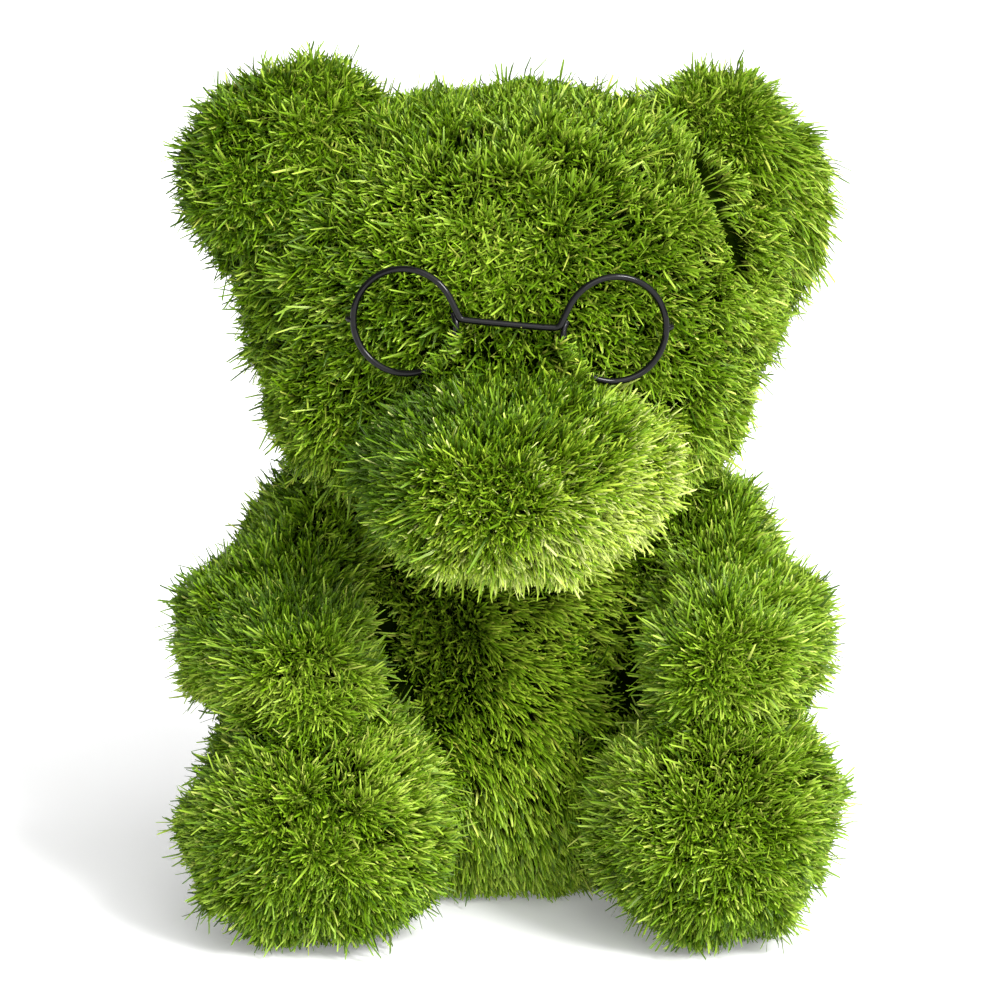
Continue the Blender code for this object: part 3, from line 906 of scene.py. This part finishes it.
def blade_group():
    """The colour and gloss of one blade, from its place on the blade map."""
    group = bpy.data.node_groups.new("grass_blade", "ShaderNodeTree")
    colour = "NodeSocketColor"
    for name in ("Deep", "Leaf", "Fresh", "Dry"):
        group_socket(group, name, colour, "INPUT", (0.1, 0.2, 0.02, 1.0))
    group_socket(group, "Root Shade", "NodeSocketFloat", "INPUT", 0.3)
    group_socket(group, "Tip Light", "NodeSocketFloat", "INPUT", 1.2)
    group_socket(group, "Colour", colour, "OUTPUT")
    group_socket(group, "Roughness", "NodeSocketFloat", "OUTPUT")
    group_socket(group, "Rib", "NodeSocketFloat", "OUTPUT")
    group_socket(group, "Gloss", "NodeSocketFloat", "OUTPUT")
    make = node_maker(group)
    given = make("NodeGroupInput").outputs
    place = make("ShaderNodeUVMap", uv_map=MAP_NAME).outputs["UV"]
    split = make("ShaderNodeSeparateXYZ", {"Vector": place}).outputs
    tint, along = split["X"], split["Y"]

    def ranged(value, low, high, to_low=0.0, to_high=1.0):
        return make("ShaderNodeMapRange", {
            "Value": value, "From Min": low, "From Max": high, "To Min": to_low, "To Max": to_high,
        }, interpolation_type="SMOOTHSTEP").outputs["Result"]

    def mixed(factor, first, second, blend="MIX"):
        return make("ShaderNodeMix", {0: factor, 6: first, 7: second},
                    data_type="RGBA", blend_type=blend).outputs[2]

    def maths(operation, *values):
        return make("ShaderNodeMath", dict(enumerate(values)), operation=operation).outputs[0]

    body = mixed(ranged(tint, *LEAF_TINTS), given["Deep"], given["Leaf"])
    body = mixed(ranged(tint, *FRESH_TINTS), body, given["Fresh"])
    body = mixed(ranged(tint, *DRY_TINTS), body, given["Dry"])
    lit = ranged(along, *LIT_ALONG, given["Root Shade"], 1.0)
    tips = ranged(along, *TIP_ALONG, 1.0, given["Tip Light"])
    column = maths("MULTIPLY", tint, float(TINTS))
    off_middle = maths("ABSOLUTE", maths("SUBTRACT", maths("FRACT", column), 0.5))
    rib = ranged(off_middle, *RIB_EDGES, 1.0, 0.0)
    strength = maths("MULTIPLY", lit, tips)
    # Painted light and shade of the rib: the blade's middle lighter, its edges darker.
    strength = maths("MULTIPLY", strength, maths("MULTIPLY_ADD", rib, RIB_LIGHT, 0.95))
    final = make("ShaderNodeVectorMath", {0: body, "Scale": strength}, operation="SCALE")
    wander = maths("FRACT", maths("MULTIPLY", maths("FLOOR", column), 0.37))
    smoothest, roughest = BLADE_ROUGHNESS
    rough = make("ShaderNodeMapRange", {
        "Value": wander, "From Min": 0.0, "From Max": 1.0,
        "To Min": smoothest, "To Max": roughest,
    }).outputs["Result"]
    rough = maths("MAXIMUM", rough, ranged(along, *MATT_ROOT))
    out = make("NodeGroupOutput")
    group.links.new(final.outputs["Vector"], out.inputs["Colour"])
    group.links.new(rough, out.inputs["Roughness"])
    group.links.new(rib, out.inputs["Rib"])
    gloss = ranged(along, *GLOSS_ALONG)
    gloss = maths("MULTIPLY", gloss, ranged(tint, *GLOSS_BY_TINT))
    group.links.new(gloss, out.inputs["Gloss"])
    return group


def turf_material(turf, group):
    """Artificial grass: tinted blades that darken to the root, with a faint rib."""
    material, nodes, links = new_material(turf.material)
    make = node_maker(material.node_tree)
    shader = nodes["Principled BSDF"]
    blade = make("ShaderNodeGroup", node_tree=group)
    for key in ("Deep", "Leaf", "Fresh", "Dry"):
        blade.inputs[key].default_value = (*getattr(turf, key.lower()), 1.0)
    blade.inputs["Root Shade"].default_value = turf.root_shade
    blade.inputs["Tip Light"].default_value = turf.tip_light
    links.new(blade.outputs["Colour"], shader.inputs["Base Color"])
    links.new(blade.outputs["Roughness"], shader.inputs["Roughness"])
    bump = make("ShaderNodeBump", {**RIB_BUMP, "Height": blade.outputs["Rib"]})
    links.new(bump.outputs["Normal"], shader.inputs["Normal"])
    links.new(blade.outputs["Gloss"], shader.inputs["Specular IOR Level"])
    shader.inputs["Specular Tint"].default_value = GLOSS_TINT
    return material


def wire_paint(name):
    """Satin black paint on steel wire, a little uneven."""
    material, nodes, links = new_material(name)
    make = node_maker(material.node_tree)
    shader = nodes["Principled BSDF"]
    place = make("ShaderNodeTexCoord").outputs["Object"]

    fine = make("ShaderNodeTexNoise", {"Vector": place, **FINE_SPECKLE}).outputs["Fac"]
    broad = make("ShaderNodeTexNoise", {"Vector": place, **BROAD_SPECKLE}).outputs["Fac"]
    smoothest, roughest = WIRE_ROUGHNESS
    rough = make("ShaderNodeMapRange", {
        "Value": broad, "From Min": 0.3, "From Max": 0.7,
        "To Min": smoothest, "To Max": roughest,
    }).outputs["Result"]
    links.new(rough, shader.inputs["Roughness"])
    shader.inputs["Specular IOR Level"].default_value = WIRE_SPECULAR
    darker, lighter = WIRE_BLACKS
    colour = make("ShaderNodeMix", {0: broad, 6: darker, 7: lighter}, data_type="RGBA").outputs[2]
    links.new(colour, shader.inputs["Base Color"])
    bump = make("ShaderNodeBump", {**WIRE_BUMP, "Height": fine})
    links.new(bump.outputs["Normal"], shader.inputs["Normal"])
    return material


# Studio

def make_floor():
    shape = bmesh.new()
    bmesh.ops.create_grid(shape, x_segments=1, y_segments=1, size=FLOOR_SIZE)
    mesh = bpy.data.meshes.new("studio_floor")
    shape.to_mesh(mesh)
    shape.free()
    material, nodes, _ = new_material("pale_floor")
    shader = nodes["Principled BSDF"]
    shader.inputs["Base Color"].default_value = FLOOR_COLOUR
    shader.inputs["Roughness"].default_value = FLOOR_ROUGHNESS
    shader.inputs["Emission Color"].default_value = WHITE
    shader.inputs["Emission Strength"].default_value = FLOOR_GLOW
    mesh.materials.append(material)
    floor = bpy.data.objects.new("studio_floor", mesh)
    bpy.context.scene.collection.objects.link(floor)


def soft_sun(name, azimuth, elevation, softness, strength):
    """A wide soft light far away. Azimuth goes from the camera's side towards the right, and
    angles are in degrees."""
    lamp = bpy.data.lights.new(name, "SUN")
    lamp.angle = math.radians(softness)
    lamp.energy = strength
    light = bpy.data.objects.new(name, lamp)
    around, up = math.radians(azimuth), math.radians(elevation)
    flat = Vector((math.sin(around), -math.cos(around), 0.0))
    source = flat * math.cos(up) + Vector((0.0, 0.0, math.sin(up)))
    light.rotation_euler = source.to_track_quat("Z", "Y").to_euler()
    bpy.context.scene.collection.objects.link(light)


def make_camera():
    camera = bpy.data.cameras.new("photo_camera")
    camera.lens = CAMERA_LENS
    camera.sensor_width = CAMERA_SENSOR
    placed = bpy.data.objects.new("photo_camera", camera)
    back = Vector((0.0, -math.cos(CAMERA_TILT), math.sin(CAMERA_TILT)))
    placed.location = CAMERA_TARGET + back * CAMERA_DISTANCE
    placed.rotation_euler = (math.pi / 2 - CAMERA_TILT, 0.0, 0.0)
    bpy.context.scene.collection.objects.link(placed)
    bpy.context.scene.camera = placed


def make_studio():
    make_floor()
    world = bpy.data.worlds.new("white_studio")
    world.use_nodes = True
    background = world.node_tree.nodes["Background"]
    background.inputs["Color"].default_value = WHITE
    background.inputs["Strength"].default_value = WORLD_LIGHT
    bpy.context.scene.world = world
    for name, light in SUNS.items():
        soft_sun(name, *light)
    bpy.context.scene.view_settings.view_transform = "Standard"
    make_camera()


# The bear

def make_bear():
    paint = wire_paint("black_wire_paint")
    line = spectacle_wire()
    spectacles = wire_mesh("spectacles_wire", [line, pin_wire(-1), pin_wire(1)], paint)
    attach(spectacles, "root")
    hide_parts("spectacles")
    wire = np.array([list(point) for point in line])

    blade = blade_group()
    turf = {slot: turf_material(look, blade) for slot, look in TURFS.items()}
    trees = {node: tree_of(mesh_from(welded_shape(node), node + "_solid")) for node in COATS}
    skin = whole_skin(SKIN_CELL, SKIN_ROUNDS)
    comb(skin, trees)
    backing = backing_of(skin)
    for seed, node in enumerate(COATS, start=1):
        slot = SLOTS[node]
        coat = coat_of_turf(skin, backing, node, seed, wire, turf[slot])
        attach(coat, "root")
        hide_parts(node)


make_bear()
make_studio()
